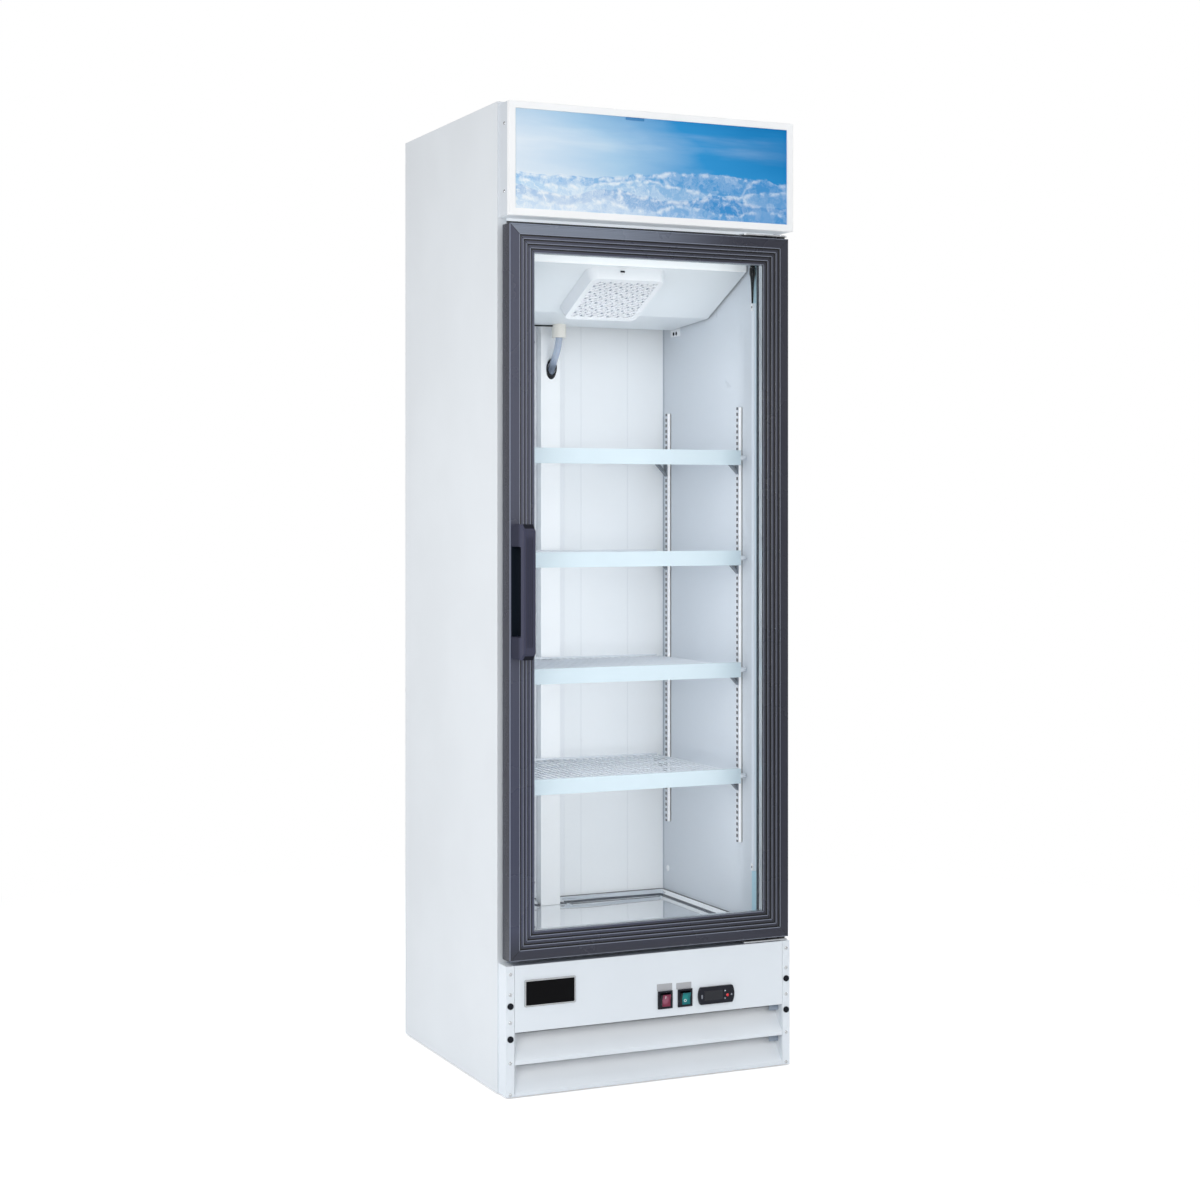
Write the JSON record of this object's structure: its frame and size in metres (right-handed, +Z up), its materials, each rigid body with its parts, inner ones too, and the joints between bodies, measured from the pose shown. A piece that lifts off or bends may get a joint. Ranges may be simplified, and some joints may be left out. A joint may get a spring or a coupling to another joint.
{
  "type": "glass door merchandiser refrigerator",
  "caption": "Upright merchandiser refrigerator with a hinged glass door, wire shelves, a lit canopy sign and a louvred base with switches and a thermostat.",
  "frame": {"origin": "on the floor, under the centre of the whole outline with the door shut", "axes": "+Z up, the door faces -Y, +X to the right of a person who faces the door"},
  "size_m": [0.654, 0.663, 2],
  "materials": {
    "cabinet_paint": "satin white paint",
    "liner_paint": "satin pale cool white paint",
    "bare_steel": "plain zinc coated sheet",
    "tray_steel": "bright stainless sheet",
    "breaker_plastic": "pale blue-grey moulding",
    "foam": "rigid foam",
    "sign_plastic": "white moulding",
    "sign_print": "translucent printed sheet in icy blues",
    "lamp_white": "white lamp cover",
    "dark_frame": "glossy blue-black finish",
    "glazing": "clear sealed glass",
    "spacer_metal": "mill finish",
    "gasket_rubber": "dark grey soft seal",
    "handle_plastic": "glossy blue-black moulding",
    "bush_plastic": "black nylon",
    "hinge_steel": "dark painted steel",
    "bright_steel": "bright plated steel",
    "badge_black": "bare black plate",
    "black_plastic": "glossy black moulding",
    "display_window": "dark window",
    "button_grey": "grey key",
    "rocker_red": "translucent red",
    "rocker_green": "translucent green",
    "clip_plastic": "dark grey",
    "shelf_coating": "white coated wire",
    "strip_plastic": "pale blue-white strip",
    "ivory_plastic": "ivory moulding",
    "hose_clear": "translucent soft tube",
    "guard_plastic": "white moulding",
    "fin_aluminium": "thin fins",
    "fan_plastic": "black blades",
    "motor_paint": "grey paint",
    "compressor_paint": "black enamel",
    "pan_plastic": "black tray",
    "copper": "copper pipe",
    "foot_plastic": "black pad on a plated stud",
    "plug_plastic": "dark plug"
  },
  "bodies": {
    "cabinet": {"side_panels": "cabinet_paint", "top_panel": "cabinet_paint", "rear_panel": "bare_steel", "front_face_frame": "cabinet_paint", "inner_liner": "liner_paint", "breaker_frame": "breaker_plastic", "foam_insulation": "foam", "canopy_back_frame": "cabinet_paint", "canopy_housing": "cabinet_paint", "sign_frame": "sign_plastic", "sign_panel": "sign_print", "canopy_lamp": "lamp_white", "base_posts": "cabinet_paint", "base_front_cover": "cabinet_paint", "switch_bezels": "black_plastic", "controller_case": "black_plastic", "controller_display": "display_window", "badge_plate": "badge_black", "badge_rim": "bright_steel", "cover_screws": "bright_steel", "plugs_and_grommets": "plug_plastic", "hinge_brackets": "hinge_steel", "hinge_pins": "bright_steel", "shelf_standards": "bright_steel", "shelf_clips": "clip_plastic", "wire_shelves": "shelf_coating", "price_strips": "strip_plastic", "floor_tray": "tray_steel", "duct_column": "liner_paint", "drain_fitting": "ivory_plastic", "drain_hose": "hose_clear", "evaporator_cover": "liner_paint", "fan_guard": "guard_plastic", "cover_brackets": "liner_paint", "evaporator_coil": "fin_aluminium", "led_strip": "lamp_white", "led_connector": "black_plastic", "fan_motors": "motor_paint", "base_chassis": "bare_steel", "levelling_feet": "foot_plastic", "compressor": "compressor_paint", "condenser_coil": "fin_aluminium", "condenser_shroud": "bare_steel", "condensate_pan": "pan_plastic", "refrigerant_pipes": "copper", "rear_grille": "bare_steel"},
    "door": {"door_stiles": "dark_frame", "door_rails": "dark_frame", "hinge_bushes": "bush_plastic", "glass_panes": "glazing", "glass_spacer": "spacer_metal", "door_gasket": "gasket_rubber", "door_handle": "handle_plastic"},
    "power_switch": {"power_rocker": "rocker_red"},
    "light_switch": {"light_rocker": "rocker_green"},
    "set_key": {"set_button": "button_grey"},
    "down_key": {"down_button": "button_grey"},
    "up_key": {"up_button": "button_grey"},
    "cold_fan": {"evaporator_fan": "fan_plastic"},
    "warm_fan": {"condenser_fan": "fan_plastic"}
  },
  "joints": [
    {"name": "door_swing", "type": "hinge", "parent": "cabinet", "child": "door", "pos_m": [0.307, -0.2535, 1.01275], "axis": [0, 0, 1], "range_deg": [0, 115]},
    {"name": "power_rock", "type": "hinge", "parent": "cabinet", "child": "power_switch", "pos_m": [0.0291, -0.2555, 0.1665], "axis": [1, 0, 0], "range_deg": [-16, 0]},
    {"name": "light_rock", "type": "hinge", "parent": "cabinet", "child": "light_switch", "pos_m": [0.075, -0.2555, 0.1665], "axis": [1, 0, 0], "range_deg": [-16, 0]},
    {"name": "cold_fan_spin", "type": "hinge", "parent": "cabinet", "child": "cold_fan", "pos_m": [0, -0.0635, 1.649], "axis": [0, -0.4311, -0.9023], "continuous": true},
    {"name": "warm_fan_spin", "type": "hinge", "parent": "cabinet", "child": "warm_fan", "pos_m": [-0.06, -0.139, 0.113], "axis": [0, -1, 0], "continuous": true},
    {"name": "set_press", "type": "slide", "parent": "cabinet", "child": "set_key", "axis": [0, 1, 0], "range_m": [0, 0.0012], "stiffness_N_per_m": 300, "springref_m": -0.0005},
    {"name": "down_press", "type": "slide", "parent": "cabinet", "child": "down_key", "axis": [0, 1, 0], "range_m": [0, 0.0012], "stiffness_N_per_m": 300, "springref_m": -0.0005},
    {"name": "up_press", "type": "slide", "parent": "cabinet", "child": "up_key", "axis": [0, 1, 0], "range_m": [0, 0.0012], "stiffness_N_per_m": 300, "springref_m": -0.0005}
  ]
}
